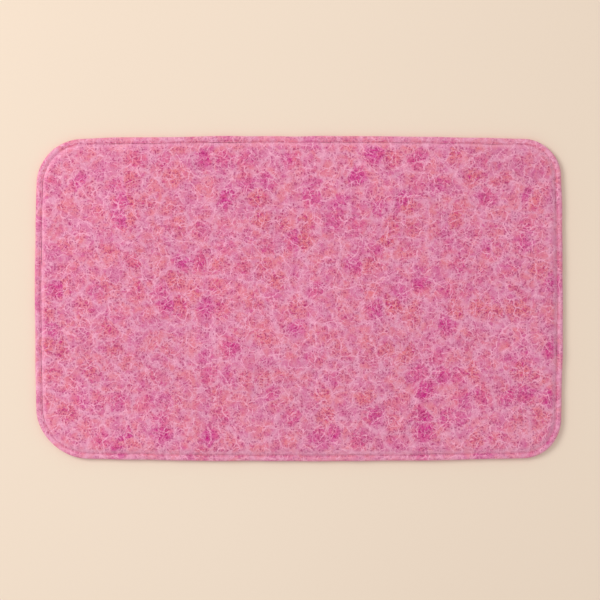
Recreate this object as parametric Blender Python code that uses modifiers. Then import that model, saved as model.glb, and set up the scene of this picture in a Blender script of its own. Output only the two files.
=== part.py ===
"""A padded bath mat: a printed microfibre face over a memory foam core, with a backing cloth and a rubber
grip layer underneath, held together by a tape folded round the edge and sewn with one lockstitch seam.

Frame: +X along the mat, +Y across it, +Z up. The origin is on the floor, under the middle of the mat.
Lengths are in metres. A depth is a distance measured inwards from the mat's outline.
"""

import math

import bmesh
import bpy

MM = 0.001

# Outline, seen from above. Each side swells past the straight line between its corners by BOW.
LENGTH = 864 * MM
WIDTH = 532 * MM
BOW = 5.8 * MM
BACK_RIGHT_RADIUS = 58 * MM
BACK_LEFT_RADIUS = 71 * MM
FRONT_LEFT_RADIUS = 80 * MM
FRONT_RIGHT_RADIUS = 60 * MM
CORNER_STEPS = 10
LONG_SIDE_STEPS = 10
SHORT_SIDE_STEPS = 6

# The stack, from the floor up. Pieces that lie on each other keep GAP between them.
GAP = 0.3 * MM
DOT_HEIGHT = 1.6 * MM
GRIP_FILM_THICKNESS = 0.4 * MM
BACKING_THICKNESS = 0.6 * MM
FACE_THICKNESS = 1.5 * MM
MAT_HEIGHT = 13.0 * MM
FOAM_RIM_THICKNESS = 2.5 * MM
BACKING_BOTTOM = DOT_HEIGHT + GRIP_FILM_THICKNESS + GAP
FOAM_BOTTOM = BACKING_BOTTOM + BACKING_THICKNESS + GAP
FOAM_TOP = MAT_HEIGHT - FACE_THICKNESS - GAP
FOAM_RIM_TOP = FOAM_BOTTOM + FOAM_RIM_THICKNESS
FACE_RIM_TOP = FOAM_RIM_TOP + GAP + FACE_THICKNESS

# The pressed rim. The body swells up between the two SHOULDER depths.
LAYER_INSET = 1.6 * MM
SHOULDER_FOOT = 11.0 * MM
SHOULDER_TOP = 20.5 * MM
SHOULDER_STEPS = 5
FOAM_STEP_BACK = 1.0 * MM

# The edge tape and its seam. ROLL_POWER is the superellipse power of the fold: 2 is round, more is squarer.
TAPE_THICKNESS = 0.8 * MM
TAPE_DEPTH = 10.5 * MM
SEAM_DEPTH = 9.0 * MM
SEAM_GROOVE = 0.5 * MM
GROOVE_HEIGHT = FACE_RIM_TOP + GAP + TAPE_THICKNESS
LIP_HEIGHT = GROOVE_HEIGHT + 0.3 * MM
CREST_HEIGHT = GROOVE_HEIGHT + 1.2 * MM
CREST_DEPTH = 4.4 * MM
ROLL_POWER = 3.5
ROLL_STEPS = 10
NEEDLE_THREAD = 0.5 * MM
BOBBIN_THREAD = 0.4 * MM
THREAD_GAP = 0.05 * MM

# Grip dots, in staggered rows half a pitch apart, each a blunt cone that starts inside the film.
DOT_PITCH = 72 * MM
DOT_BASE_RADIUS = 1.9 * MM
DOT_TIP_RADIUS = 1.2 * MM
DOT_SIDES = 8
DOT_MARGIN = 16 * MM

# The care label, on the underside against the tape, at the middle of the back edge.
LABEL_WIDTH = 26 * MM
LABEL_LENGTH = 42 * MM
LABEL_THICKNESS = 0.5 * MM
LABEL_ROUNDING = 0.15 * MM

PRINT_PINK = (0.709, 0.220, 0.352)
THREAD_PINK = (0.740, 0.270, 0.400)
FOAM_CREAM = (0.820, 0.760, 0.620)
CLOTH_GREY = (0.620, 0.600, 0.570)
RUBBER_WHITE = (0.760, 0.750, 0.720)
LABEL_WHITE = (0.860, 0.850, 0.820)


def clear_scene():
    for item in list(bpy.data.objects):
        bpy.data.objects.remove(item)


def new_collection(name):
    collection = bpy.data.collections.new(name)
    bpy.context.scene.collection.children.link(collection)
    return collection


def material(name, colour, roughness):
    made = bpy.data.materials.new(name)
    made.use_nodes = True
    shader = made.node_tree.nodes["Principled BSDF"]
    shader.inputs["Base Color"].default_value = (*colour, 1)
    shader.inputs["Roughness"].default_value = roughness
    shader.inputs["Metallic"].default_value = 0
    return made


def place(name, data, finish, collection):
    """A new object of the mat, with its material."""
    item = bpy.data.objects.new(name, data)
    item.data.materials.append(finish)
    collection.objects.link(item)
    return item


def bowed(x, y):
    """A point of the straight-sided outline moved out to the swollen one."""
    half_x = LENGTH / 2 - BOW
    half_y = WIDTH / 2 - BOW
    swell_x = 1 + BOW / half_x * (1 - (y / half_y) ** 2)
    swell_y = 1 + BOW / half_y * (1 - (x / half_x) ** 2)
    return x * swell_x, y * swell_y


def outline(depth):
    """The points of the mat's outline at a depth, counter-clockwise from the back right corner."""
    half_x = LENGTH / 2 - BOW - depth
    half_y = WIDTH / 2 - BOW - depth
    corners = (
        (1, 1, BACK_RIGHT_RADIUS, LONG_SIDE_STEPS),
        (-1, 1, BACK_LEFT_RADIUS, SHORT_SIDE_STEPS),
        (-1, -1, FRONT_LEFT_RADIUS, LONG_SIDE_STEPS),
        (1, -1, FRONT_RIGHT_RADIUS, SHORT_SIDE_STEPS),
    )
    arcs = []
    for turn, (side_x, side_y, outer_radius, _) in enumerate(corners):
        radius = outer_radius - depth
        centre_x = side_x * (half_x - radius)
        centre_y = side_y * (half_y - radius)
        angles = [math.pi / 2 * (turn + step / CORNER_STEPS) for step in range(CORNER_STEPS + 1)]
        arcs.append([(centre_x + radius * math.cos(a), centre_y + radius * math.sin(a)) for a in angles])
    points = []
    for turn, (_, _, _, side_steps) in enumerate(corners):
        points += arcs[turn]
        start = arcs[turn][-1]
        end = arcs[(turn + 1) % 4][0]
        for step in range(1, side_steps):
            share = step / side_steps
            points.append((start[0] + (end[0] - start[0]) * share, start[1] + (end[1] - start[1]) * share))
    return [bowed(x, y) for x, y in points]


def ring_curve(name, points, height, dimensions="3D"):
    """A closed curve through the points, all at one height."""
    curve = bpy.data.curves.new(name, "CURVE")
    curve.dimensions = dimensions
    spline = curve.splines.new("POLY")
    spline.points.add(len(points) - 1)
    for point, (x, y) in zip(spline.points, points):
        point.co = (x, y, height, 1)
    spline.use_cyclic_u = True
    return curve


def slab_mesh(name, depth, bottom, top):
    """The outline at a depth, filled and extruded from bottom to top, with one face on each side."""
    curve = ring_curve(name, outline(depth), 0, dimensions="2D")
    curve.fill_mode = "BOTH"
    curve.extrude = (top - bottom) / 2
    holder = bpy.data.objects.new(name + "_outline", curve)
    mesh = bpy.data.meshes.new_from_object(holder)
    bpy.data.objects.remove(holder)
    bpy.data.curves.remove(curve)
    mesh.name = name
    solid = bmesh.new()
    solid.from_mesh(mesh)
    bmesh.ops.remove_doubles(solid, verts=solid.verts, dist=0.001 * MM)
    bmesh.ops.translate(solid, verts=solid.verts, vec=(0, 0, (bottom + top) / 2))
    for side in (1, -1):
        cap = [face for face in solid.faces if face.normal.z * side > 0.9]
        bmesh.ops.dissolve_faces(solid, faces=cap)
    bmesh.ops.recalc_face_normals(solid, faces=solid.faces)
    solid.to_mesh(mesh)
    solid.free()
    return mesh


def raise_body(mesh, flat_width, rise):
    """Insets the top face past the flat rim and lifts it along the shoulder's S-curve."""
    solid = bmesh.new()
    solid.from_mesh(mesh)
    top = max(solid.faces, key=lambda face: face.calc_center_median().z)
    bmesh.ops.inset_region(solid, faces=[top], thickness=flat_width, depth=0, use_even_offset=True)
    lifted = 0.0
    for step in range(1, SHOULDER_STEPS + 1):
        share = step / SHOULDER_STEPS
        height = rise * share * share * (3 - 2 * share)
        bmesh.ops.inset_region(
            solid,
            faces=[top],
            thickness=(SHOULDER_TOP - SHOULDER_FOOT) / SHOULDER_STEPS,
            depth=height - lifted,
            use_even_offset=True,
        )
        lifted = height
    solid.to_mesh(mesh)
    solid.free()


def keep_top_surface(mesh):
    """Removes the underside and the side wall, which leaves the open upper surface."""
    surface = bmesh.new()
    surface.from_mesh(mesh)
    lower = [face for face in surface.faces if face.normal.z < 0.05]
    bmesh.ops.delete(surface, geom=lower, context="FACES")
    surface.to_mesh(mesh)
    surface.free()


def make_backing_cloth(collection):
    mesh = slab_mesh("backing_cloth", LAYER_INSET, BACKING_BOTTOM, BACKING_BOTTOM + BACKING_THICKNESS)
    place("backing_cloth", mesh, material("backing_cloth", CLOTH_GREY, 0.95), collection)


def make_foam_core(collection):
    mesh = slab_mesh("foam_core", LAYER_INSET, FOAM_BOTTOM, FOAM_RIM_TOP)
    raise_body(mesh, SHOULDER_FOOT + FOAM_STEP_BACK - LAYER_INSET, FOAM_TOP - FOAM_RIM_TOP)
    place("foam_core", mesh, material("foam_core", FOAM_CREAM, 0.9), collection)


def make_face_fabric(collection):
    mesh = slab_mesh("face_fabric", LAYER_INSET, FACE_RIM_TOP - FACE_THICKNESS, FACE_RIM_TOP)
    raise_body(mesh, SHOULDER_FOOT - LAYER_INSET, MAT_HEIGHT - FACE_RIM_TOP)
    keep_top_surface(mesh)
    face = place("face_fabric", mesh, material("printed_microfibre", PRINT_PINK, 0.9), collection)
    cloth = face.modifiers.new("cloth thickness", "SOLIDIFY")
    cloth.thickness = FACE_THICKNESS
    cloth.offset = -1
    cloth.use_even_offset = True


def roll(inset):
    """Half a superellipse as (depth, height): from the floor, round the outside, up to the tape's crest."""
    points = []
    for step in range(ROLL_STEPS + 1):
        angle = math.pi * step / ROLL_STEPS
        outward = math.sin(angle) ** (2 / ROLL_POWER)
        upward = math.copysign(abs(math.cos(angle)) ** (2 / ROLL_POWER), -math.cos(angle))
        depth = CREST_DEPTH - (CREST_DEPTH - inset) * outward
        height = CREST_HEIGHT / 2 + (CREST_HEIGHT / 2 - inset) * upward
        points.append((depth, height))
    return points


def tape_side(inset):
    """One side of the folded tape as (depth, height): grooved lower leg, roll, grooved upper leg."""
    groove_start = SEAM_DEPTH - SEAM_GROOVE
    groove_end = SEAM_DEPTH + SEAM_GROOVE
    lower_leg = [
        (TAPE_DEPTH, inset),
        (groove_end, SEAM_GROOVE + inset),
        (groove_start, SEAM_GROOVE + inset),
        (groove_start - 2 * SEAM_GROOVE, inset),
    ]
    upper_leg = [
        (groove_start, GROOVE_HEIGHT - inset),
        (groove_end, GROOVE_HEIGHT - inset),
        (TAPE_DEPTH, LIP_HEIGHT - inset),
    ]
    return lower_leg + roll(inset) + upper_leg


def tape_section():
    """The tape's closed section as (outward, up): its inner side, then back along its outer side."""
    loop = tape_side(TAPE_THICKNESS) + tape_side(0)[::-1]
    return [(-depth, height) for depth, height in loop]


def make_edge_binding(collection, guides):
    loop = ring_curve("tape_section", tape_section(), 0, dimensions="2D")
    section = bpy.data.objects.new("tape_section", loop)
    section.hide_render = True
    section.display_type = "WIRE"
    guides.objects.link(section)
    path = ring_curve("edge_binding", outline(0), 0)
    path.bevel_mode = "OBJECT"
    path.bevel_object = section
    path.twist_mode = "Z_UP"
    place("edge_binding", path, material("printed_tape", PRINT_PINK, 0.85), collection)


def make_seam_thread(name, height, diameter, collection):
    path = ring_curve(name, outline(SEAM_DEPTH), height)
    path.bevel_depth = diameter / 2
    path.bevel_resolution = 1
    place(name, path, material(name, THREAD_PINK, 0.6), collection)


def in_label(x, y):
    """Whether a dot here would meet the care label."""
    near_x = abs(x) < LABEL_WIDTH / 2 + DOT_BASE_RADIUS + GAP
    return near_x and y > WIDTH / 2 - TAPE_DEPTH - LABEL_LENGTH - DOT_BASE_RADIUS - GAP


def dot_places():
    """Staggered rows of dots that stay clear of the tape and the label."""
    row_step = DOT_PITCH / 2
    rows = int(WIDTH / 2 / row_step)
    columns = int(LENGTH / 2 / DOT_PITCH) + 1
    half_x = LENGTH / 2 - BOW - DOT_MARGIN
    half_y = WIDTH / 2 - BOW - DOT_MARGIN
    radius = FRONT_LEFT_RADIUS - DOT_MARGIN
    for row in range(-rows, rows + 1):
        for column in range(-columns, columns + 1):
            x = (column + (row % 2) / 2) * DOT_PITCH
            y = row * row_step
            past_x = max(abs(x) - half_x + radius, 0)
            past_y = max(abs(y) - half_y + radius, 0)
            if math.hypot(past_x, past_y) < radius and not in_label(x, y):
                yield x, y


def make_grip_layer(collection, guides):
    """The rubber film under the cloth, with its dots joined on."""
    cones = bmesh.new()
    height = DOT_HEIGHT + GRIP_FILM_THICKNESS / 2
    for x, y in dot_places():
        cone = bmesh.ops.create_cone(
            cones,
            cap_ends=True,
            segments=DOT_SIDES,
            radius1=DOT_TIP_RADIUS,
            radius2=DOT_BASE_RADIUS,
            depth=height,
        )
        bmesh.ops.translate(cones, verts=cone["verts"], vec=(x, y, height / 2))
    mesh = bpy.data.meshes.new("dot_cones")
    cones.to_mesh(mesh)
    cones.free()
    dots = bpy.data.objects.new("dot_cones", mesh)
    dots.hide_render = True
    dots.display_type = "WIRE"
    guides.objects.link(dots)
    film = slab_mesh("grip_layer", LAYER_INSET, DOT_HEIGHT, DOT_HEIGHT + GRIP_FILM_THICKNESS)
    layer = place("grip_layer", film, material("grip_rubber", RUBBER_WHITE, 0.5), collection)
    join = layer.modifiers.new("dots", "BOOLEAN")
    join.operation = "UNION"
    join.object = dots


def make_care_label(collection):
    mesh = bpy.data.meshes.new("care_label")
    block = bmesh.new()
    bmesh.ops.create_cube(block, size=1)
    bmesh.ops.scale(block, verts=block.verts, vec=(LABEL_WIDTH, LABEL_LENGTH, LABEL_THICKNESS))
    block.to_mesh(mesh)
    block.free()
    label = place("care_label", mesh, material("label_satin", LABEL_WHITE, 0.4), collection)
    label.location = (
        0,
        WIDTH / 2 - TAPE_DEPTH - GAP - LABEL_LENGTH / 2,
        DOT_HEIGHT - GAP - LABEL_THICKNESS / 2,
    )
    rounding = label.modifiers.new("soft edges", "BEVEL")
    rounding.width = LABEL_ROUNDING
    rounding.segments = 1


def main():
    clear_scene()
    mat = new_collection("bath_mat")
    guides = new_collection("guides")
    make_grip_layer(mat, guides)
    make_backing_cloth(mat)
    make_foam_core(mat)
    make_face_fabric(mat)
    make_edge_binding(mat, guides)
    make_seam_thread("needle_thread", GROOVE_HEIGHT + THREAD_GAP + NEEDLE_THREAD / 2, NEEDLE_THREAD, mat)
    make_seam_thread("bobbin_thread", THREAD_GAP + BOBBIN_THREAD / 2, BOBBIN_THREAD, mat)
    make_care_label(mat)


main()
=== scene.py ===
"""The looks of a padded bath mat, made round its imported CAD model.

Every CAD node is a plain stand-in for a soft layer, so each is replaced here by a finished piece: a printed
plush face, foam, cloth, a dotted rubber underside, a rolled edge tape with its stitches, and a folded label.
Lengths are in metres, in the CAD's frame. A depth is a distance measured inwards from the mat's outline.
"""

import math

import bpy
import numpy as np
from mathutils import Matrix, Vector


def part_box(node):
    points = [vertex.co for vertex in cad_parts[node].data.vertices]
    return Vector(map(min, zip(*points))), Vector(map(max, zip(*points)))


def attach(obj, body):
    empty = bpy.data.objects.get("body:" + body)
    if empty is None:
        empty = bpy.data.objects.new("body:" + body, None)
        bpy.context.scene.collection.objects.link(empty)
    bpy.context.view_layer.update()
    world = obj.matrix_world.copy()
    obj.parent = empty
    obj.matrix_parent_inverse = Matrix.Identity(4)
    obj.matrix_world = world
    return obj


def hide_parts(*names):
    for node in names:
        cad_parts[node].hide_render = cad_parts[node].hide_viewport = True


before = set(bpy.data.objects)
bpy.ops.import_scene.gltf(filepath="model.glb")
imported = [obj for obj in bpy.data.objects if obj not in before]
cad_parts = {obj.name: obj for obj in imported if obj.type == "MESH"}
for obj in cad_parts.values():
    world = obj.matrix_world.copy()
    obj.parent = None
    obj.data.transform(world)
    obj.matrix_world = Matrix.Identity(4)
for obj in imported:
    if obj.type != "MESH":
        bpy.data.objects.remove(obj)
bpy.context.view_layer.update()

MM = 0.001

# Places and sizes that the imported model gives.
TAPE_LOW, TAPE_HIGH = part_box("edge_binding")
FACE_LOW, FACE_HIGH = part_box("face_fabric")
FOAM_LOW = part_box("foam_core")[0]
CLOTH_LOW, CLOTH_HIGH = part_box("backing_cloth")
GRIP_LOW, GRIP_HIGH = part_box("grip_layer")
NEEDLE_LOW, NEEDLE_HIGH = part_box("needle_thread")
BOBBIN_LOW, BOBBIN_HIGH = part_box("bobbin_thread")
LABEL_LOW, LABEL_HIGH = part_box("care_label")
LENGTH = TAPE_HIGH.x - TAPE_LOW.x
WIDTH = TAPE_HIGH.y - TAPE_LOW.y
LAYER_INSET = TAPE_HIGH.x - FACE_HIGH.x
THREAD_RADIUS = 0.2 * MM
SEAM_DEPTH = TAPE_HIGH.x - (NEEDLE_HIGH.x + BOBBIN_HIGH.x) / 2 + THREAD_RADIUS
LABEL_GAP = 0.3 * MM
TAPE_END = TAPE_HIGH.y - LABEL_HIGH.y - LABEL_GAP

# The outline's corners and swelling sides, as the CAD has them.
BOW = 5.8 * MM
HALF_X = LENGTH / 2 - BOW
HALF_Y = WIDTH / 2 - BOW
BACK_RIGHT_RADIUS = 58 * MM
BACK_LEFT_RADIUS = 71 * MM
FRONT_LEFT_RADIUS = 80 * MM
FRONT_RIGHT_RADIUS = 60 * MM

# The layers' rims and the shoulder between rim and body.
FACE_THICKNESS = 1.5 * MM
FACE_RIM_TOP = FACE_LOW.z + FACE_THICKNESS
SHOULDER_FOOT = 9.4 * MM
SHOULDER_TOP = 22.0 * MM
LAYER_GAP = 0.3 * MM
FILM_THICKNESS = 0.4 * MM
FILM_BOTTOM = GRIP_HIGH.z - FILM_THICKNESS

# The outline is first drawn with this many points on each corner and side, then spaced out evenly.
CORNER_POINTS = 90
SIDE_POINTS = 200
MEASURING_POINTS = 4000


def srgb(red, green, blue):
    """A display colour, 0 to 255, as the linear colour that shaders use."""
    shares = (red / 255, green / 255, blue / 255)
    return tuple(s / 12.92 if s <= 0.04045 else ((s + 0.055) / 1.055) ** 2.4 for s in shares) + (1.0,)


# --- Shape helpers ---------------------------------------------------------------------------------------


def swell(x, y):
    """How much the outline's swelling stretches a point's x and its y."""
    stretch_x = 1 + BOW / HALF_X * (1 - (y / HALF_Y) ** 2)
    stretch_y = 1 + BOW / HALF_Y * (1 - (x / HALF_X) ** 2)
    return stretch_x, stretch_y


def bowed(x, y):
    """Points of the straight-sided outline moved out to the swollen one."""
    stretch_x, stretch_y = swell(x, y)
    return x * stretch_x, y * stretch_y


def straightened(x, y):
    """Points of the swollen outline moved back to the straight-sided one, closer with each round."""
    flat_x, flat_y = x, y
    for _ in range(3):
        stretch_x, stretch_y = swell(flat_x, flat_y)
        flat_x, flat_y = x / stretch_x, y / stretch_y
    return flat_x, flat_y


def depth_of(x, y):
    """How deep inside the outline each point lies."""
    flat_x, flat_y = straightened(x, y)
    right = np.where(flat_y > 0, BACK_RIGHT_RADIUS, FRONT_RIGHT_RADIUS)
    left = np.where(flat_y > 0, BACK_LEFT_RADIUS, FRONT_LEFT_RADIUS)
    radius = np.where(flat_x > 0, right, left)
    past_x = np.abs(flat_x) - HALF_X + radius
    past_y = np.abs(flat_y) - HALF_Y + radius
    outside = np.hypot(np.maximum(past_x, 0), np.maximum(past_y, 0))
    return radius - outside - np.minimum(np.maximum(past_x, past_y), 0)


def outline(count):
    """Evenly spaced points round the outline, counter-clockwise, and the inward direction at each."""
    corners = (
        (1, 1, BACK_RIGHT_RADIUS),
        (-1, 1, BACK_LEFT_RADIUS),
        (-1, -1, FRONT_LEFT_RADIUS),
        (1, -1, FRONT_RIGHT_RADIUS),
    )
    arcs = []
    for turn, (side_x, side_y, radius) in enumerate(corners):
        angle = math.pi / 2 * (turn + np.linspace(0, 1, CORNER_POINTS))
        arc = np.stack([np.cos(angle), np.sin(angle)], axis=1) * radius
        arcs.append(arc + np.array([side_x * (HALF_X - radius), side_y * (HALF_Y - radius)]))
    runs = []
    for turn in range(4):
        start = arcs[turn][-1]
        end = arcs[(turn + 1) % 4][0]
        share = np.linspace(0, 1, SIDE_POINTS)[1:-1, None]
        runs += [arcs[turn], start + (end - start) * share]
    raw = np.concatenate(runs)
    path = np.stack(bowed(raw[:, 0], raw[:, 1]), axis=1)
    path = np.vstack([path, path[:1]])
    travelled = np.concatenate([[0], np.cumsum(np.linalg.norm(np.diff(path, axis=0), axis=1))])
    stops = np.arange(count) / count * travelled[-1]
    points = np.stack([np.interp(stops, travelled, path[:, axis]) for axis in (0, 1)], axis=1)
    along = np.roll(points, -1, axis=0) - np.roll(points, 1, axis=0)
    along /= np.linalg.norm(along, axis=1, keepdims=True)
    return points, np.stack([-along[:, 1], along[:, 0]], axis=1)


def outline_length():
    points, _ = outline(MEASURING_POINTS)
    return float(np.linalg.norm(points - np.roll(points, 1, axis=0), axis=1).sum())


def wander(count, longest, shortest, size, seed):
    """A smooth random walk round the outline, with waves from longest to shortest and this usual size."""
    draws = np.random.default_rng(seed)
    round_trip = outline_length()
    place = np.arange(count) / count * 2 * math.pi
    total = np.zeros(count)
    for waves in range(round(round_trip / longest), round(round_trip / shortest) + 1):
        share = draws.normal() / math.sqrt(waves)
        total += share * np.cos(waves * place + draws.uniform(0, 2 * math.pi))
    return total / total.std() * size


def grain(x, y, size, seed):
    """Smooth noise from -1 to 1 whose lumps are about this size."""
    draws = np.random.default_rng(seed)
    columns = int(LENGTH / size) + 6
    rows = int(WIDTH / size) + 6
    knots = draws.uniform(-1, 1, (columns, rows))
    across = x / size + columns / 2 - 1
    up = y / size + rows / 2 - 1
    column = np.clip(np.floor(across).astype(int), 0, columns - 2)
    row = np.clip(np.floor(up).astype(int), 0, rows - 2)
    a = np.clip(across - column, 0, 1)
    b = np.clip(up - row, 0, 1)
    a = a * a * (3 - 2 * a)
    b = b * b * (3 - 2 * b)
    near = knots[column, row] * (1 - a) + knots[column + 1, row] * a
    far = knots[column, row + 1] * (1 - a) + knots[column + 1, row + 1] * a
    return near * (1 - b) + far * b


def smooth_curve(points, per_span):
    """A Catmull-Rom curve through the points, with per_span steps between each two."""
    knots = np.array(points, float)
    before = np.vstack([2 * knots[:1] - knots[1:2], knots[:-1]])
    after = np.vstack([knots[1:], 2 * knots[-1:] - knots[-2:-1]])
    slope = (after - before) / 2
    t = np.arange(per_span)[:, None, None] / per_span
    start, end = knots[:-1], knots[1:]
    leave, arrive = slope[:-1], slope[1:]
    spans = (
        (2 * t**3 - 3 * t**2 + 1) * start
        + (t**3 - 2 * t**2 + t) * leave
        + (-2 * t**3 + 3 * t**2) * end
        + (t**3 - t**2) * arrive
    )
    return np.vstack([spans.transpose(1, 0, 2).reshape(-1, knots.shape[1]), knots[-1:]])


def piece(name, points, face_sets, finish, nodes):
    """A finished piece of the mat: a smooth-shaded mesh that stands for the CAD nodes.

    Each face set is an array of faces with the same number of corners.
    """
    corners = [face for faces in face_sets for face in faces.tolist()]
    mesh = bpy.data.meshes.new(name)
    mesh.from_pydata(points.reshape(-1, 3).tolist(), [], corners)
    mesh.shade_smooth()
    mesh.materials.append(finish)
    item = bpy.data.objects.new(name, mesh)
    bpy.context.scene.collection.objects.link(item)
    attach(item, "root")
    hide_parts(*nodes)
    return item


# The name under which a printed piece stores its place on the unfolded cloth.
PRINT_PLACE = "print_place"


def mark_print_place(item, places):
    """Stores where each point lies on the unfolded printed cloth."""
    stored = item.data.attributes.new(PRINT_PLACE, "FLOAT_VECTOR", "POINT")
    stored.data.foreach_set("vector", np.asarray(places, np.float32).ravel())


def ring_faces(steps, around):
    """Quads of a closed tube whose rows of points, steps by around, join end to end."""
    step = np.arange(steps)[:, None]
    turn = np.arange(around)[None, :]
    here = step * around
    there = (step + 1) % steps * around
    onward = (turn + 1) % around
    return np.stack([here + turn, there + turn, there + onward, here + onward], axis=-1).reshape(-1, 4)


# Depths of the lattice lines beside the rim, closest where the body rises from it.
RIM_LINES = np.array([4, 7, 9.4, 10.2, 11.2, 12.3, 13.7, 15.4, 17.4, 19.6, 22]) * MM


def lattice_lines(cell, inset):
    """Where the lines of a lattice cross the straight-sided outline: (x of each, y of each)."""
    lines = []
    for half in (HALF_X, HALF_Y):
        rim = np.concatenate([[inset], RIM_LINES])
        inner = half - rim[-1]
        middle = np.linspace(-inner, inner, round(2 * inner / cell) + 1)[1:-1]
        lines.append(np.concatenate([rim - half, middle, half - rim[::-1]]))
    return lines


def lattice(cell, inset):
    """A grid of points that follows the mat's sides, cut at the inset: (x, y, quads)."""
    x_lines, y_lines = lattice_lines(cell, inset)
    x, y = bowed(*np.meshgrid(x_lines, y_lines, indexing="ij"))
    middle_x = (x[:-1, :-1] + x[1:, 1:]) / 2
    middle_y = (y[:-1, :-1] + y[1:, 1:]) / 2
    kept_columns, kept_rows = np.nonzero(depth_of(middle_x, middle_y) > inset)
    rows = len(y_lines)
    corner = kept_columns * rows + kept_rows
    quads = np.stack([corner, corner + rows, corner + rows + 1, corner + 1], axis=1)
    x, y = x.ravel(), y.ravel()
    used, flat = np.unique(quads, return_inverse=True)
    x, y, quads = x[used], y[used], flat.reshape(quads.shape)
    for _ in range(3):
        short = np.maximum(inset - depth_of(x, y), 0)
        nudge = 0.1 * MM
        x_slope = (depth_of(x + nudge, y) - depth_of(x - nudge, y)) / (2 * nudge)
        y_slope = (depth_of(x, y + nudge) - depth_of(x, y - nudge)) / (2 * nudge)
        x, y = x + short * x_slope, y + short * y_slope
    return x, y, quads


def layer(cell, inset, top_of, bottom_of):
    """A closed layer over the mat between two heights, each a function of x, y and depth."""
    x, y, quads = lattice(cell, inset)
    depth = depth_of(x, y)
    upper = np.stack([x, y, top_of(x, y, depth)], axis=1)
    lower = np.stack([x, y, bottom_of(x, y, depth)], axis=1)
    edges = np.concatenate([quads[:, [a, (a + 1) % 4]] for a in range(4)])
    _, index, uses = np.unique(np.sort(edges, axis=1), axis=0, return_inverse=True, return_counts=True)
    rim = edges[uses[index.reshape(-1)] == 1]
    count = len(x)
    walls = np.stack([rim[:, 1], rim[:, 0], rim[:, 0] + count, rim[:, 1] + count], axis=1)
    return np.vstack([upper, lower]), np.vstack([quads, quads[:, ::-1] + count, walls])


def shoulder(depth):
    """How far the body has risen, from 0 on the pressed rim to 1: steep at the seam, round at the top."""
    share = np.clip((depth - SHOULDER_FOOT) / (SHOULDER_TOP - SHOULDER_FOOT), 0, 1)
    return 1 - (1 - share) ** 2


# --- Shader helpers --------------------------------------------------------------------------------------


class Graph:
    """A short way to write the nodes of a material or a node group."""

    def __init__(self, tree):
        self.tree = tree

    def feed(self, socket, value):
        if isinstance(value, bpy.types.NodeSocket):
            self.tree.links.new(value, socket)
        else:
            socket.default_value = value

    def add(self, kind, inputs=None, **settings):
        node = self.tree.nodes.new(kind)
        for name, value in settings.items():
            setattr(node, name, value)
        for name, value in (inputs or {}).items():
            self.feed(node.inputs[name], value)
        return node

    def math(self, operation, first, second=0.0, third=0.0):
        inputs = {0: first, 1: second, 2: third}
        return self.add("ShaderNodeMath", inputs, operation=operation).outputs[0]

    def product(self, *factors):
        """The factors multiplied together, the first of them a socket."""
        total = factors[0]
        for factor in factors[1:]:
            total = self.math("MULTIPLY", total, factor)
        return total

    def between(self, share, low, high):
        """A value that goes from low to high as share goes from 0 to 1."""
        return self.math("MULTIPLY_ADD", share, high - low, low)

    def vector(self, operation, first, second):
        inputs = {0: first, 1: second}
        return self.add("ShaderNodeVectorMath", inputs, operation=operation).outputs[0]

    def scale(self, place, factor):
        inputs = {0: place, "Scale": factor}
        return self.add("ShaderNodeVectorMath", inputs, operation="SCALE").outputs[0]

    def split(self, vector):
        """The x, y and z of a vector, or the red, green and blue of a colour."""
        return self.add("ShaderNodeSeparateXYZ", {0: vector}).outputs

    def noise(self, place, size, seed, detail=2.0, roughness=0.5, output="Fac"):
        """Noise with lumps of this size in millimetres, at a place in millimetres."""
        moved = self.vector("ADD", place, (seed * 137.1, seed * 71.7, seed * 43.3))
        node = self.add(
            "ShaderNodeTexNoise",
            {"Vector": moved, "Scale": 1 / size, "Detail": detail, "Roughness": roughness},
        )
        return node.outputs[output]

    def cells(self, place, size, seed, feature="F1", dimensions="2D"):
        moved = self.vector("ADD", place, (seed * 117.3, seed * 83.9, seed * 31.1))
        return self.add(
            "ShaderNodeTexVoronoi",
            {"Vector": moved, "Scale": 1 / size},
            feature=feature,
            voronoi_dimensions=dimensions,
        )

    def warp(self, place, size, reach, seed):
        """The place moved about by up to reach, in lumps of this size."""
        drift = self.noise(place, size, seed, output="Color")
        centred = self.vector("SUBTRACT", drift, (0.5, 0.5, 0.5))
        return self.vector("ADD", place, self.scale(centred, 2 * reach))

    def rise(self, value, low, high):
        """0 below low and 1 above high, smooth between; a low above the high turns it round."""
        flipped = low > high
        node = self.add(
            "ShaderNodeMapRange",
            {
                "Value": value,
                "From Min": min(low, high),
                "From Max": max(low, high),
                "To Min": float(flipped),
                "To Max": float(not flipped),
            },
            interpolation_type="SMOOTHSTEP",
        )
        return node.outputs[0]

    def mix(self, share, first, second):
        """A colour that goes from the first to the second as share goes from 0 to 1."""
        node = self.add("ShaderNodeMix", data_type="RGBA")
        self.feed(node.inputs[0], share)
        self.feed(node.inputs[6], first)
        self.feed(node.inputs[7], second)
        return node.outputs[2]

    def bump(self, height, distance, strength=1.0):
        inputs = {"Height": height, "Distance": distance, "Strength": strength}
        return self.add("ShaderNodeBump", inputs).outputs[0]


def new_material(name):
    """A material with its Principled shader: (material, graph, shader)."""
    made = bpy.data.materials.new(name)
    made.use_nodes = True
    return made, Graph(made.node_tree), made.node_tree.nodes["Principled BSDF"]


def millimetres(graph):
    """The place on the mat in millimetres."""
    return graph.scale(graph.add("ShaderNodeTexCoord").outputs["Object"], 1000.0)


def printed_place(graph):
    """The place on the unfolded cloth in millimetres: along, across, and depth from the mat's outline."""
    stored = graph.add("ShaderNodeAttribute", attribute_name=PRINT_PLACE).outputs["Vector"]
    return graph.scale(stored, 1000.0)


# --- The print -------------------------------------------------------------------------------------------

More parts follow.
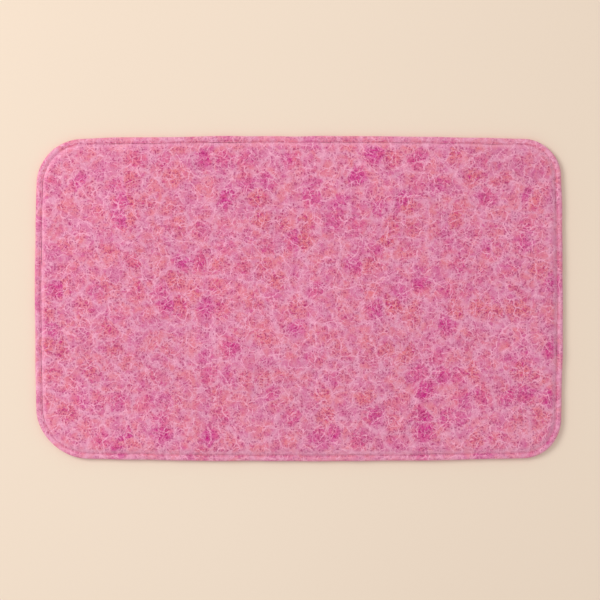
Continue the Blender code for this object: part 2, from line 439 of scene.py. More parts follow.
MID_PINK = srgb(212, 121, 160)
ROSE = srgb(223, 127, 148)
CORAL = srgb(226, 116, 124)
MAGENTA = srgb(210, 54, 142)
DEEP_MAGENTA = srgb(196, 26, 124)
PALE = srgb(227, 158, 187)
STRAND = srgb(243, 172, 200)
SPECK = srgb(164, 42, 102)
# A pale pink laid over the shoulder and the tape's roll: painted highlight for the pile's sheen, and on the
# roll also the print paling where the cloth stretches.
SHEEN_AND_STRETCH_PALE = srgb(240, 174, 202)

# Each web of strands: (mesh size in mm, half the line's width in mm, how far it wanders in mm, strength).
STRAND_WEBS = (
    (44.0, 1.1, 12.0, 0.75),
    (30.0, 1.0, 9.0, 0.75),
    (21.0, 0.9, 7.0, 0.65),
    (14.0, 0.8, 5.0, 0.50),
    (9.0, 0.7, 3.5, 0.30),
)
# Each size of speck: (spacing in mm, its reach as a share of the spacing, strength).
SPECK_SIZES = ((6.0, 0.38, 0.60), (4.2, 0.38, 0.60), (3.0, 0.38, 0.50))
ISLAND_SPACING = 35.0


def islands(graph, place, colour):
    """Round patches of magenta or coral, each with its own strength, in a pale surround.

    Gives the colour, and how much of an island each place is.
    """
    centre = graph.cells(place, size=ISLAND_SPACING, seed=3)
    hue, strength, _ = graph.split(centre.outputs["Color"])
    rough = graph.noise(place, size=9.0, seed=12, detail=4.0, roughness=0.65)
    torn = graph.math("ADD", centre.outputs["Distance"], graph.between(rough, -0.30, 0.30))
    core = graph.rise(torn, 0.72, 0.14)
    tint = graph.mix(graph.rise(hue, 0.38, 0.60), CORAL, MAGENTA)
    crowding = graph.between(graph.rise(graph.noise(place, size=100.0, seed=6), 0.35, 0.65), 0.7, 1.2)
    share = graph.product(core, crowding, graph.rise(strength, 0.0, 1.1))
    border = graph.cells(place, size=ISLAND_SPACING, seed=3, feature="DISTANCE_TO_EDGE")
    veil = graph.rise(border.outputs["Distance"], 0.20, 0.0)
    cloud = graph.rise(graph.noise(place, size=15.0, seed=4, detail=3.0), 0.30, 0.62)
    colour = graph.mix(graph.product(veil, cloud, 0.85), colour, PALE)
    return graph.mix(graph.product(share, 0.76), colour, tint), share


def blooms(graph, place, colour, crowd):
    """Smaller stains: deep magenta, most of it on the islands, and coral or pale patches between."""
    stain = graph.rise(graph.noise(place, size=7.5, seed=5, detail=3.0), 0.50, 0.70)
    coral = graph.rise(graph.noise(place, size=12.0, seed=6), 0.56, 0.72)
    pale = graph.rise(graph.noise(place, size=11.0, seed=7, detail=3.0), 0.52, 0.72)
    colour = graph.mix(graph.product(stain, graph.between(crowd, 0.40, 1.10), 0.85), colour, DEEP_MAGENTA)
    colour = graph.mix(graph.product(coral, 0.36), colour, CORAL)
    return graph.mix(graph.product(pale, 0.65), colour, PALE)


def specks(graph, place, colour, crowd):
    """Crumbs of dark print, crowded on the islands."""
    torn = graph.warp(place, size=3.0, reach=1.5, seed=8)
    patch = graph.rise(graph.noise(place, size=14.0, seed=9), 0.30, 0.70)
    chance = graph.math("ADD", graph.product(crowd, 0.50), graph.product(patch, 0.65))
    for number, (spacing, reach, strength) in enumerate(SPECK_SIZES):
        cell = graph.cells(torn, size=spacing, seed=10 + number)
        threshold = graph.split(cell.outputs["Color"])[0]
        dot = graph.rise(cell.outputs["Distance"], reach, reach * 0.4)
        chosen = graph.rise(graph.math("SUBTRACT", chance, threshold), -0.08, 0.22)
        colour = graph.mix(graph.product(dot, chosen, strength), colour, SPECK)
    return colour


def strands(graph, place, colour):
    """Webs of fine curly strands, laid one over another, that come and go."""
    for number, (size, half_width, reach, strength) in enumerate(STRAND_WEBS):
        wandering = graph.warp(place, size=size * 0.7, reach=reach, seed=20 + number)
        curly = graph.warp(wandering, size=7.5, reach=3.6, seed=27 + number)
        border = graph.cells(curly, size=size, seed=34 + number, feature="DISTANCE_TO_EDGE")
        line = graph.rise(border.outputs["Distance"], half_width / size, half_width / size * 0.3)
        fade = graph.rise(graph.noise(place, size=11.0, seed=41 + number), 0.42, 0.58)
        colour = graph.mix(graph.product(line, fade, strength), colour, STRAND)
    return colour


def uneven_dye(graph, place, colour):
    """The colour with a fine fleck, and a little darker or lighter over broad areas."""
    fleck = graph.noise(place, size=2.0, seed=50, roughness=0.6)
    colour = graph.vector("ADD", colour, graph.between(fleck, -0.08, 0.08))
    broad = graph.noise(place, size=120.0, seed=51, detail=1.0)
    return graph.scale(colour, graph.between(broad, 0.93, 1.07))


def sheen_and_stretch_bands(graph, depth, colour):
    """Painted highlight: a paler band over the shoulder stands for the sheen of the pile there, and a paler
    band round the fold of the tape is partly painted sheen and partly the print, which pales where the cloth
    stretches round the fold.
    """
    # The shoulder's band is painted highlight; the fold's band is painted sheen together with print that
    # pales where the cloth stretches.
    shoulder_highlight = graph.product(graph.rise(depth, 9.4, 11.0), graph.rise(depth, 19.0, 13.0))
    fold_sheen_and_stretch = graph.rise(depth, 8.6, 6.6)
    colour = graph.mix(graph.product(shoulder_highlight, 0.36), colour, SHEEN_AND_STRETCH_PALE)
    return graph.mix(graph.product(fold_sheen_and_stretch, 0.22), colour, SHEEN_AND_STRETCH_PALE)


def print_group():
    """The print as a node group: a place on the cloth in, a colour out."""
    group = bpy.data.node_groups.new("scribbled_wool_print", "ShaderNodeTree")
    group.interface.new_socket("Place", in_out="INPUT", socket_type="NodeSocketVector")
    group.interface.new_socket("Color", in_out="OUTPUT", socket_type="NodeSocketColor")
    graph = Graph(group)
    along, across, depth = graph.split(graph.add("NodeGroupInput").outputs["Place"])
    place = graph.add("ShaderNodeCombineXYZ", {0: along, 1: across}).outputs[0]
    crumpled = graph.warp(place, size=22.0, reach=7.0, seed=1)
    crumpled = graph.warp(crumpled, size=8.0, reach=3.0, seed=2)
    ground = graph.rise(graph.noise(place, size=28.0, seed=2), 0.38, 0.64)
    colour = graph.mix(ground, MID_PINK, ROSE)
    colour, crowd = islands(graph, crumpled, colour)
    colour = blooms(graph, crumpled, colour, crowd)
    colour = specks(graph, place, colour, crowd)
    colour = strands(graph, place, colour)
    colour = uneven_dye(graph, place, colour)
    # Painted highlight over the shoulder and round the tape's roll.
    colour = sheen_and_stretch_bands(graph, depth, colour)
    graph.feed(graph.add("NodeGroupOutput").inputs["Color"], colour)
    return group


def printed_plush(name, print_tree, pile_height, sheen):
    """Printed microfibre with a short pile that catches the light at its edges."""
    made, graph, shader = new_material(name)
    dye = graph.add("ShaderNodeGroup", node_tree=print_tree)
    graph.feed(dye.inputs["Place"], printed_place(graph))
    place = millimetres(graph)
    leaning = graph.warp(place, size=4.0, reach=0.8, seed=60)
    tufts = graph.cells(leaning, size=1.5, seed=61, feature="SMOOTH_F1", dimensions="3D")
    lean = graph.noise(place, size=7.0, seed=62, detail=4.0, roughness=0.65)
    hollow = graph.product(tufts.outputs["Distance"], -0.7)
    pile = graph.math("ADD", hollow, graph.product(lean, 1.3))
    graph.feed(shader.inputs["Base Color"], dye.outputs["Color"])
    graph.feed(shader.inputs["Normal"], graph.bump(pile, pile_height, 0.8))
    shader.inputs["Roughness"].default_value = 0.92
    shader.inputs["Specular IOR Level"].default_value = 0.15
    shader.inputs["Sheen Weight"].default_value = sheen
    shader.inputs["Sheen Roughness"].default_value = 0.45
    shader.inputs["Sheen Tint"].default_value = srgb(250, 205, 222)
    return made


# --- Plain finishes --------------------------------------------------------------------------------------


def ridges(graph, coordinate, pitch):
    """A wave from -1 to 1 along a coordinate, one crest in each pitch."""
    return graph.math("SINE", graph.product(coordinate, 2 * math.pi / pitch))


def woven(graph, place, pitch):
    """The height of a plain weave: two crossed sets of round threads, one over the other in turn."""
    along, across, _ = graph.split(place)
    warp = ridges(graph, along, 2 * pitch)
    weft = ridges(graph, across, 2 * pitch)
    threads = graph.math("ADD", graph.math("ABSOLUTE", warp), graph.math("ABSOLUTE", weft))
    return graph.math("ADD", graph.product(warp, weft, 0.5), graph.product(threads, 0.5))


def cloudy(graph, place, size, seed, first, second):
    """A colour that drifts between two close shades, in clouds of this size."""
    cloud = graph.rise(graph.noise(place, size=size, seed=seed, detail=3.0), 0.3, 0.7)
    return graph.mix(cloud, first, second)


def cloth_material():
    """Off-white polyester cloth, woven plain."""
    made, graph, shader = new_material("woven_backing")
    place = millimetres(graph)
    weave = woven(graph, place, 0.9)
    colour = cloudy(graph, place, 40.0, 70, srgb(214, 209, 202), srgb(226, 221, 214))
    # Darker where the weave is low, in the gaps between the threads: painted shade.
    colour = graph.mix(graph.rise(weave, 0.6, -0.2), colour, srgb(188, 182, 174))
    graph.feed(shader.inputs["Base Color"], colour)
    graph.feed(shader.inputs["Normal"], graph.bump(weave, 0.25 * MM))
    shader.inputs["Roughness"].default_value = 0.95
    return made


def rubber_material(name, pale, deep):
    """Milky thermoplastic rubber that shows the weave of the cloth it was pressed on."""
    made, graph, shader = new_material(name)
    place = millimetres(graph)
    weave = woven(graph, place, 1.1)
    cloud = graph.rise(graph.noise(place, size=25.0, seed=80, detail=4.0), 0.3, 0.7)
    scuff = graph.rise(graph.noise(place, size=5.0, seed=81, detail=5.0, roughness=0.7), 0.35, 0.7)
    colour = graph.mix(cloud, deep, pale)
    colour = graph.mix(graph.product(scuff, 0.25), colour, pale)
    graph.feed(shader.inputs["Base Color"], colour)
    graph.feed(shader.inputs["Roughness"], graph.between(scuff, 0.42, 0.62))
    graph.feed(shader.inputs["Normal"], graph.bump(weave, 0.12 * MM, 0.7))
    return made


def foam_material():
    """Cream polyurethane foam with fine open pores."""
    made, graph, shader = new_material("foam")
    place = millimetres(graph)
    shaken = graph.warp(place, size=3.0, reach=0.6, seed=90)
    pore = graph.cells(shaken, size=1.3, seed=91, dimensions="3D").outputs["Distance"]
    colour = cloudy(graph, place, 30.0, 92, srgb(240, 230, 205), srgb(246, 240, 222))
    # Darker in the pits of the pores: painted shade.
    colour = graph.mix(graph.rise(pore, 0.35, 0.05), colour, srgb(206, 190, 156))
    graph.feed(shader.inputs["Base Color"], colour)
    graph.feed(shader.inputs["Normal"], graph.bump(pore, 0.5 * MM))
    shader.inputs["Roughness"].default_value = 0.95
    return made


def thread_material():
    """Spun polyester sewing thread, its plies shown as fine slanted ridges."""
    made, graph, shader = new_material("sewing_thread")
    x, y, z = graph.split(millimetres(graph))
    slant = graph.math("ADD", graph.math("ADD", x, y), z)
    ply = ridges(graph, slant, 0.45)
    # Lighter on the crests of the plies and darker in the grooves between them: painted highlight and
    # painted shade.
    colour = graph.mix(graph.rise(ply, -1.0, 1.0), srgb(212, 104, 146), srgb(240, 150, 184))
    graph.feed(shader.inputs["Base Color"], colour)
    graph.feed(shader.inputs["Normal"], graph.bump(ply, 0.06 * MM))
    shader.inputs["Roughness"].default_value = 0.6
    shader.inputs["Sheen Weight"].default_value = 0.2
    return made


def label_material():
    """Blank white satin ribbon with fine ribs across it."""
    made, graph, shader = new_material("label_satin")
    place = millimetres(graph)
    rib = ridges(graph, graph.split(place)[1], 0.5)
    colour = cloudy(graph, place, 9.0, 100, srgb(236, 233, 228), srgb(246, 244, 240))
    # Darker in the troughs between the ribs: painted shade.
    colour = graph.mix(graph.rise(rib, 0.2, -1.0), colour, srgb(216, 213, 208))
    graph.feed(shader.inputs["Base Color"], colour)
    graph.feed(shader.inputs["Normal"], graph.bump(rib, 0.05 * MM))
    shader.inputs["Roughness"].default_value = 0.38
    return made


# --- The face and its foam -------------------------------------------------------------------------------

FACE_CELL = 3.4 * MM
FOAM_CELL = 6.0 * MM
FLAT_CELL = 8 * MM
FLAT_LUMP = 45 * MM
FLAT_RISE = 0.06 * MM

# The tufts of the plush, as (width, rise), which set in over TUFT_FADE past the seam.
TUFT_SIZES = ((6 * MM, 0.14 * MM), (13 * MM, 0.16 * MM))
TUFT_FADE = 6 * MM
PLUSH_DROP = 0.2 * MM

# The settling cloth: how uneven it starts, how firmly the foam holds it, and how far it may move.
SIM_CELL = 7.0 * MM
SIM_FRAMES = 20
SIM_CAP = 0.6 * MM
SIM_START_LUMP = 30 * MM
SIM_START_RISE = 0.3 * MM
FOAM_HOLD = 0.06
CLOTH_EXCESS = 0.003


def body_top(depth):
    """The height of the mat's top at a depth, before the cloth settles."""
    return FACE_RIM_TOP + (FACE_HIGH.z - FACE_RIM_TOP) * shoulder(depth)


def cloth_to_settle():
    """The cloth, cut a little larger than the foam it lies on: (object, x, y, starting heights)."""
    x, y, quads = lattice(SIM_CELL, LAYER_INSET)
    depth = depth_of(x, y)
    start = body_top(depth) + grain(x, y, SIM_START_LUMP, 1) * SIM_START_RISE
    mesh = bpy.data.meshes.new("settling_cloth")
    mesh.from_pydata(np.stack([x, y, start], axis=1).tolist(), [], quads.tolist())
    cloth = bpy.data.objects.new("settling_cloth", mesh)
    bpy.context.scene.collection.objects.link(cloth)
    held = cloth.vertex_groups.new(name="held")
    for number, place in enumerate(depth):
        held.add([number], 1.0 if place < SHOULDER_FOOT + SIM_CELL else FOAM_HOLD, "REPLACE")
    settle = cloth.modifiers.new("settle", "CLOTH")
    settle.settings.vertex_group_mass = held.name
    settle.settings.mass = 0.02
    settle.settings.tension_stiffness = 15
    settle.settings.compression_stiffness = 15
    settle.settings.shear_stiffness = 5
    settle.settings.bending_stiffness = 0.2
    settle.settings.pin_stiffness = 1.0
    settle.settings.shrink_min = -CLOTH_EXCESS
    settle.settings.effector_weights.gravity = 0
    settle.point_cache.frame_end = SIM_FRAMES
    return cloth, x, y, start


def settled_lift():
    """How far the cloth settles from its starting height, on the crossings of the simulation's lattice."""
    lines = lattice_lines(SIM_CELL, LAYER_INSET)
    lift = np.zeros((len(lines[0]), len(lines[1])))
    cloth, x, y, start = cloth_to_settle()
    for number in range(1, SIM_FRAMES + 1):
        bpy.context.scene.frame_set(number)
    settled = cloth.evaluated_get(bpy.context.evaluated_depsgraph_get())
    heights = np.array([point.co.z for point in settled.data.vertices]) - start
    bpy.context.scene.frame_set(1)
    bpy.data.objects.remove(cloth)
    flat_x, flat_y = straightened(x, y)
    column = np.abs(lines[0][:, None] - flat_x).argmin(axis=0)
    row = np.abs(lines[1][:, None] - flat_y).argmin(axis=0)
    lift[column, row] = SIM_CAP * np.tanh(heights / SIM_CAP)
    return lift


def sampled(grid, x, y):
    """A grid of heights on the simulation's lattice, read between its lines."""
    spans = []
    for lines, place in zip(lattice_lines(SIM_CELL, LAYER_INSET), straightened(x, y)):
        before = np.clip(np.searchsorted(lines, place) - 1, 0, len(lines) - 2)
        share = (place - lines[before]) / (lines[before + 1] - lines[before])
        spans.append((before, np.clip(share, 0, 1)))
    (column, a), (row, b) = spans
    near = grid[column, row] * (1 - a) + grid[column + 1, row] * a
    far = grid[column, row + 1] * (1 - a) + grid[column + 1, row + 1] * a
    return near * (1 - b) + far * b


def plush_top(lift):
    """The height of the plush as a function of x, y and depth: the body, the cloth's lift, and tufts."""

    def height(x, y, depth):
        body = np.clip((depth - SHOULDER_FOOT) / TUFT_FADE, 0, 1)
        tufts = -PLUSH_DROP
        for seed, (size, rise) in enumerate(TUFT_SIZES, start=2):
            tufts = tufts + grain(x, y, size, seed) * rise
        return body_top(depth) + body * (sampled(lift, x, y) + tufts)

    return height


def make_face(height, plush):
    def underside(x, y, depth):
        return height(x, y, depth) - FACE_THICKNESS

    points, faces = layer(FACE_CELL, LAYER_INSET, height, underside)
    face = piece("face_fabric_plush", points, [faces], plush, ["face_fabric"])
    mark_print_place(face, np.column_stack([points[:, :2], depth_of(points[:, 0], points[:, 1])]))


def make_foam(height, finish):
    drop = FACE_THICKNESS + LAYER_GAP
    points, faces = layer(
        FOAM_CELL,
        LAYER_INSET,
        lambda x, y, depth: height(x, y, depth) - drop,
        lambda x, y, depth: np.full_like(x, FOAM_LOW.z),
    )
    foam = piece("foam_core_pad", points, [faces], finish, ["foam_core"])


def make_flat_layer(name, node, finish, bottom, top):
    """A thin sheet that lies nearly flat under the foam."""

    def raised(height):
        return lambda x, y, depth: height + grain(x, y, FLAT_LUMP, 5) * FLAT_RISE

    points, faces = layer(FLAT_CELL, LAYER_INSET, raised(top), raised(bottom))
    sheet = piece(name, points, [faces], finish, [node])


# --- The grip dots ---------------------------------------------------------------------------------------

DOT_PITCH = 18 * MM
DOT_RADIUS = 1.8 * MM
DOT_MARGIN = 15 * MM
DOT_SIDES = 10
DOT_CLEARANCE = 1 * MM
DOT_SPREAD = 0.035

# The rings of a dot from film to tip: (share of its radius, share of its height).
DOT_RINGS = ((1.12, 0.0), (0.92, 0.30), (0.70, 0.72), (0.38, 0.95))


def dot_places():
    """Staggered rows of dots that stay clear of the tape and the label."""
    row_step = DOT_PITCH / 2
    rows = int(WIDTH / 2 / row_step)
    columns = int(LENGTH / 2 / DOT_PITCH) + 1
    places = []
    for row in range(-rows, rows + 1):
        for column in range(-columns, columns + 1):
            places.append(((column + (row % 2) / 2) * DOT_PITCH, row * row_step))
    x, y = np.array(places).T
    clear = DOT_RADIUS + DOT_CLEARANCE
    beside = np.abs(x) > LABEL_HIGH.x + clear
    before = y < LABEL_LOW.y - clear
    kept = (depth_of(x, y) > DOT_MARGIN) & (beside | before)
    return x[kept], y[kept]


def dot_rings(x, y):
    """The points of every dot, ring by ring and then the tip, a little unlike from dot to dot."""
    size = np.random.default_rng(11).normal(1.0, DOT_SPREAD, len(x))
    turn = 2 * math.pi * np.arange(DOT_SIDES) / DOT_SIDES
    height = FILM_BOTTOM - GRIP_LOW.z
    rings = []
    for radius, fall in DOT_RINGS:
        reach = DOT_RADIUS * radius * size[:, None]
        ring_x = x[:, None] + reach * np.cos(turn)
        ring_y = y[:, None] + reach * np.sin(turn)
        ring_z = np.full_like(ring_x, FILM_BOTTOM - height * fall)
        rings.append(np.stack([ring_x, ring_y, ring_z], axis=-1))
    tips = np.stack([x, y, np.full_like(x, GRIP_LOW.z)], axis=-1)[:, None, :]
    return np.concatenate([*rings, tips], axis=1)


def make_dots(finish):
    """Domed dots, moulded with the film."""
    x, y = dot_places()
    points = dot_rings(x, y)
    per_dot = points.shape[1]
    side = np.arange(DOT_SIDES)
    onward = (side + 1) % DOT_SIDES
    bands = []
    for ring in range(len(DOT_RINGS) - 1):
        above = ring * DOT_SIDES
        below = above + DOT_SIDES
        bands.append(np.stack([above + side, below + side, below + onward, above + onward], axis=1))
    last = (len(DOT_RINGS) - 1) * DOT_SIDES
    fan = np.stack([last + side, np.full(DOT_SIDES, per_dot - 1), last + onward], axis=1)
    starts = np.arange(len(x))[:, None, None] * per_dot
    quads = (np.concatenate(bands)[None] + starts).reshape(-1, 4)
    triangles = (fan[None] + starts).reshape(-1, 3)
    piece("grip_dots", points, [quads, triangles], finish, ["grip_layer"])


# --- The edge tape and its seam --------------------------------------------------------------------------

TAPE_THICKNESS = 0.8 * MM
CREST_DEPTH = 4.4 * MM
CREST_HEIGHT = TAPE_HIGH.z
GROOVE_HEIGHT = NEEDLE_LOW.z - 0.05 * MM
STITCH_LENGTH = 3.5 * MM
STITCH_STEPS = 3

# How deep each stitch pinches the tape and puckers it outside the seam, and how far that reaches.
PINCH_DROP = 0.22 * MM
PINCH_REACH = 1.1 * MM
PUCKER_DROP = 0.10 * MM
PUCKER_REACH = 1.8 * MM
PUCKER_OFFSET = 2.6 * MM

# Only the tape's upper half is uneven: what lies on the floor stays flat.
UPPER_START = 4 * MM
UPPER_FADE = 3 * MM


def tape_path():
    """The tape's outer side as (depth, height), from its lower edge round the outside to its upper edge."""
    lower_leg = [
        (TAPE_END, 0.15 * MM),
        (SEAM_DEPTH, 0.5 * MM),
        (SEAM_DEPTH - 1.5 * MM, 0.05 * MM),
    ]
    roll = [
        (3.6 * MM, 0.0),
        (1.2 * MM, 0.5 * MM),
        (0.1 * MM, 2.4 * MM),
        (0.1 * MM, CREST_HEIGHT - 3.6 * MM),
        (1.4 * MM, CREST_HEIGHT - 1.0 * MM),
        (CREST_DEPTH, CREST_HEIGHT),
    ]
    upper_leg = [
        (SEAM_DEPTH - 1.6 * MM, CREST_HEIGHT - 0.5 * MM),
        (SEAM_DEPTH, GROOVE_HEIGHT),
        (TAPE_END - 0.5 * MM, GROOVE_HEIGHT + 0.65 * MM),
        (TAPE_END, GROOVE_HEIGHT + 0.35 * MM),
    ]
    return smooth_curve(lower_leg + roll + upper_leg, 2)


def tape_section(outer):
    """The tape's closed section: its outer side, and back along every other point of its inner side."""
    lean = np.gradient(outer, axis=0)
    lean /= np.linalg.norm(lean, axis=1, keepdims=True)
    inner = outer + np.stack([lean[:, 1], -lean[:, 0]], axis=1) * TAPE_THICKNESS
    return np.vstack([outer, inner[::-1][::2]])


def laid_flat(outer):
    """The depth of each point of the section with the tape unfolded from its crest, and the tape's width."""
    spans = np.linalg.norm(np.diff(outer, axis=0), axis=1)
    travelled = np.concatenate([[0], np.cumsum(spans)])
    crest = int(np.argmax(outer[:, 1]))
    flat = CREST_DEPTH + travelled - travelled[crest]
    return np.concatenate([flat, flat[::-1][::2]]), float(travelled[-1])


def stitched_heights(section, steps):
    """The section's heights at each step round the mat, drawn down at every stitch."""
    roll = 1 + wander(steps, 160 * MM, 25 * MM, 0.030, seed=22)
    tightness = 1 + wander(steps, 60 * MM, 8 * MM, 0.25, seed=23)
    pull = np.cos(2 * math.pi * np.arange(steps) / STITCH_STEPS) * tightness
    height = np.broadcast_to(section[:, 1], (steps, len(section)))
    upper = np.clip((height - UPPER_START) / UPPER_FADE, 0, 1)
    from_seam = section[:, 0] - SEAM_DEPTH
    pinch = np.exp(-((from_seam / PINCH_REACH) ** 2))
    pucker = np.exp(-(((from_seam + PUCKER_OFFSET) / PUCKER_REACH) ** 2))
    drop = (pinch * PINCH_DROP + pucker * PUCKER_DROP) * pull[:, None]
    return height * (1 + upper * (roll[:, None] - 1)) - upper * drop


def swept(points, inward, depths, last):
    """Points at these depths inwards from each point of the outline, with a last coordinate."""
    across = points[:, None, :] + inward[:, None, :] * depths[None, :, None]
    return np.concatenate([across, np.broadcast_to(last, across.shape[:2])[..., None]], axis=-1)


def make_tape(finish):
    """The folded tape, swept round the outline and drawn in at each stitch."""
    outer = tape_path()
    section = tape_section(outer)
    flat_depths, width = laid_flat(outer)
    steps = round(outline_length() / STITCH_LENGTH) * STITCH_STEPS
    points, inward = outline(steps)
    points = points + inward * wander(steps, 400 * MM, 60 * MM, 0.30 * MM, seed=21)[:, None]
    folded = swept(points, inward, section[:, 0], stitched_heights(section, steps))
    faces = ring_faces(steps, len(section))
    tape = piece("edge_binding_tape", folded, [faces], finish, ["edge_binding"])
    mark_print_place(tape, swept(points, inward, flat_depths, flat_depths))
    cut = (width, outline_length())


# A stitch is a tube with THREAD_SIDES sides, along STITCH_BENDS of the PLACES_PER_STITCH on the outline.
# It covers STITCH_REACH of its length, arches by STITCH_RISE thread radii, and dips by STITCH_DIP of that.
STITCH_BENDS = 7
THREAD_SIDES = 6
PLACES_PER_STITCH = 100
STITCH_REACH = 0.88
STITCH_RISE = 1.6
STITCH_DIP = 0.8
STITCH_SLANT = 0.30 * MM
SLANT_SPREAD = 0.05 * MM
THREAD_END = 0.8


def stitch_spines(count, middle, rise):
    """The curve along the middle of each stitch, and the inward direction at each of its points."""
    share = np.linspace(0.5 - STITCH_REACH / 2, 0.5 + STITCH_REACH / 2, STITCH_BENDS)
    places, inward = outline(count * PLACES_PER_STITCH)
    start = np.arange(count)[:, None] * PLACES_PER_STITCH
    index = start + np.rint(share * PLACES_PER_STITCH).astype(int)
    slants = np.random.default_rng(31).normal(STITCH_SLANT, SLANT_SPREAD, (count, 1, 1))
    depth = SEAM_DEPTH + (share - 0.5)[:, None] * slants
    arch = np.sin(math.pi * np.linspace(0, 1, STITCH_BENDS)) ** 0.5
    height = np.broadcast_to(middle + rise * (arch - STITCH_DIP), index.shape)
    across = places[index] + inward[index] * depth
    return np.concatenate([across, height[..., None]], axis=-1), inward[index]


def make_stitches(name, node, low, high, up, finish):
    """A row of lockstitches: each a short arched tube whose ends dive through the tape."""
    count = round(outline_length() / STITCH_LENGTH)
    radius = (high - low) / 2
    spine, inward = stitch_spines(count, (low + high) / 2, up * radius * STITCH_RISE)
    turn = 2 * math.pi * np.arange(THREAD_SIDES) / THREAD_SIDES
    side = np.concatenate([inward, np.zeros((*inward.shape[:2], 1))], axis=-1)[:, :, None, :]
    above = np.array([0, 0, 1.0])
    thickness = np.full(STITCH_BENDS, radius)
    thickness[[0, -1]] *= THREAD_END
    swell_out = side * np.cos(turn)[:, None] + above * np.sin(turn)[:, None]
    points = spine[:, :, None, :] + swell_out * thickness[None, :, None, None]
    ring = np.arange(STITCH_BENDS - 1)[:, None] * THREAD_SIDES
    here = np.arange(THREAD_SIDES)[None, :]
    onward = (here + 1) % THREAD_SIDES
    next_ring = ring + THREAD_SIDES
    tube = np.stack([ring + here, ring + onward, next_ring + onward, next_ring + here], axis=-1)
    starts = np.arange(count)[:, None, None] * STITCH_BENDS * THREAD_SIDES
    faces = (tube.reshape(1, -1, 4) + starts).reshape(-1, 4)
    piece(name, points, [faces], finish, [node])


# --- The label -------------------------------------------------------------------------------------------

RIBBON_THICKNESS = 0.16 * MM
RIBBON_COLUMNS = 14
RIBBON_CURL = 0.10 * MM
CAUGHT_DEPTH = SEAM_DEPTH + 0.6 * MM


def ribbon_path():
    """The folded ribbon as (depth, height): out from the seam under the film, round the fold, and back."""
    fold = TAPE_HIGH.y - LABEL_LOW.y
    places = [
        (CAUGHT_DEPTH, 0.12 * MM),
        (TAPE_END + 3 * MM, 0.22 * MM),
        (fold * 0.55, 0.30 * MM),
        (fold - 3 * MM, 0.28 * MM),
        (fold - 0.2 * MM, 0.55 * MM),
        (fold - 2.6 * MM, 0.92 * MM),
        (fold * 0.6, 0.95 * MM),
        (TAPE_END + 5 * MM, 0.85 * MM),
        (TAPE_END + 1 * MM, 0.52 * MM),
        (CAUGHT_DEPTH, 0.42 * MM),
    ]
    return smooth_curve([(depth, FILM_BOTTOM - drop) for depth, drop in places], 8)


def make_label(finish):
    """A ribbon folded in two, its ends caught under the tape's edge, pressed flat under the mat."""
    path = ribbon_path()
    wave = np.sin(np.linspace(0, 3 * math.pi, RIBBON_COLUMNS))
    z = path[:, 1:] + RIBBON_CURL * wave * np.linspace(0, 1, len(path))[:, None]
    x = np.broadcast_to(np.linspace(LABEL_LOW.x, LABEL_HIGH.x, RIBBON_COLUMNS), z.shape)
    y = np.broadcast_to(TAPE_HIGH.y - path[:, :1], z.shape)
    points = np.stack([x, y, z], axis=-1)
    row = np.arange(len(path) - 1)[:, None] * RIBBON_COLUMNS
    corner = row + np.arange(RIBBON_COLUMNS - 1)
    over = corner + RIBBON_COLUMNS
    quads = np.stack([corner, corner + 1, over + 1, over], axis=-1).reshape(-1, 4)
    label = piece("care_label_ribbon", points, [quads], finish, ["care_label"])
    body = label.modifiers.new("ribbon thickness", "SOLIDIFY")
    body.thickness = RIBBON_THICKNESS
    body.offset = 0


# --- Stage -----------------------------------------------------------------------------------------------

# The mat fills MAT_SHARE of the picture's width, and AIM is the point in the picture's middle.
MAT_SHARE = 0.88
VIEW_WIDTH = LENGTH / MAT_SHARE
LENS = 85.0
SENSOR = 36.0
AIM = Vector((1.8 * MM, -2.3 * MM, 5.0 * MM))

FLOOR_SIZE = 60.0
FLOOR_DROP = 0.1 * MM
KEY_PLACE = (-3.25, 1.6, 3.15)
KEY_SIZE = 2.4
KEY_POWER = 123
KEY_COLOUR = (1.0, 0.985, 0.96)
AMBIENT_COLOUR = (1.0, 0.985, 0.965, 1.0)
AMBIENT_STRENGTH = 0.71


def make_floor():
    """A plain pale floor that reaches far enough to fill the picture from any side."""
    bpy.ops.mesh.primitive_plane_add(size=FLOOR_SIZE, location=(0, 0, -FLOOR_DROP))
    floor = bpy.context.active_object
    floor.name = "floor"
    made, graph, shader = new_material("pale_floor")
    tone = graph.noise(millimetres(graph), size=900.0, seed=110, detail=1.0)
    colour = graph.mix(tone, srgb(231, 212, 193), srgb(236, 219, 201))
    graph.feed(shader.inputs["Base Color"], colour)
    shader.inputs["Roughness"].default_value = 0.6
    shader.inputs["Specular IOR Level"].default_value = 0.2
    floor.data.materials.append(made)


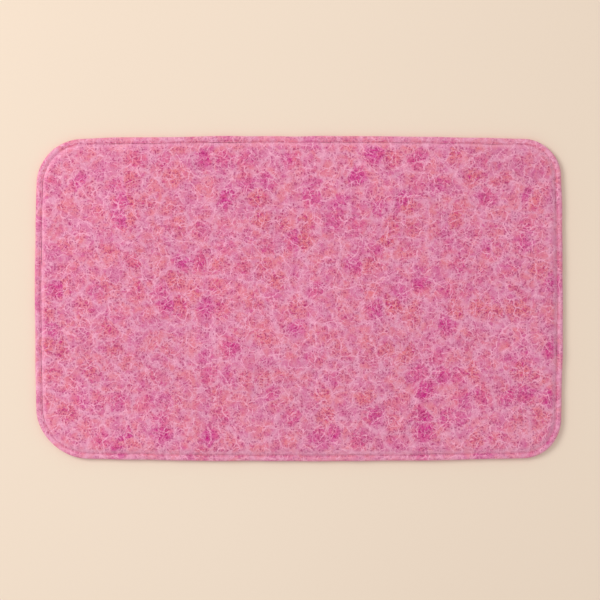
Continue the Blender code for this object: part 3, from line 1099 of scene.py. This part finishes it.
def make_studio():
    """Soft light from all round, and a large disk lamp high on the left."""
    world = bpy.data.worlds.new("studio")
    world.use_nodes = True
    sky = world.node_tree.nodes["Background"]
    sky.inputs["Color"].default_value = AMBIENT_COLOUR
    sky.inputs["Strength"].default_value = AMBIENT_STRENGTH
    bpy.context.scene.world = world
    lamp = bpy.data.lights.new("key_light", "AREA")
    lamp.shape = "DISK"
    lamp.size = KEY_SIZE
    lamp.energy = KEY_POWER
    lamp.color = KEY_COLOUR
    item = bpy.data.objects.new("key_light", lamp)
    item.location = KEY_PLACE
    item.rotation_euler = (-Vector(KEY_PLACE)).to_track_quat("-Z", "Y").to_euler()
    bpy.context.scene.collection.objects.link(item)
    bpy.context.scene.view_settings.view_transform = "Standard"


def make_camera():
    """Looks straight down at the mat, from as high as its lens needs to take in VIEW_WIDTH."""
    data = bpy.data.cameras.new("camera")
    data.lens = LENS
    data.sensor_width = SENSOR
    camera = bpy.data.objects.new("camera", data)
    camera.location = AIM + Vector((0, 0, VIEW_WIDTH * LENS / SENSOR))
    bpy.context.scene.collection.objects.link(camera)
    bpy.context.scene.camera = camera


def make_underside():
    """The cloth under the foam, and the rubber film with its dots."""
    film = rubber_material("grip_film", srgb(226, 220, 210), srgb(218, 211, 200))
    dots = rubber_material("grip_dots", srgb(250, 249, 246), srgb(243, 241, 236))
    cloth = cloth_material()
    make_flat_layer(
        "backing_cloth_sheet", "backing_cloth", cloth, CLOTH_LOW.z, CLOTH_HIGH.z
    )
    make_flat_layer("grip_film", "grip_layer", film, FILM_BOTTOM, GRIP_HIGH.z)
    make_dots(dots)


def main():
    make_studio()
    make_camera()
    make_floor()
    print_tree = print_group()
    height = plush_top(settled_lift())
    make_face(height, printed_plush("printed_plush", print_tree, 0.9 * MM, 0.35))
    make_foam(height, foam_material())
    make_underside()
    make_tape(printed_plush("printed_tape", print_tree, 0.6 * MM, 0.45))
    thread = thread_material()
    make_stitches("needle_stitches", "needle_thread", NEEDLE_LOW.z, NEEDLE_HIGH.z, 1, thread)
    make_stitches("bobbin_stitches", "bobbin_thread", BOBBIN_LOW.z, BOBBIN_HIGH.z, -1, thread)
    make_label(label_material())


main()
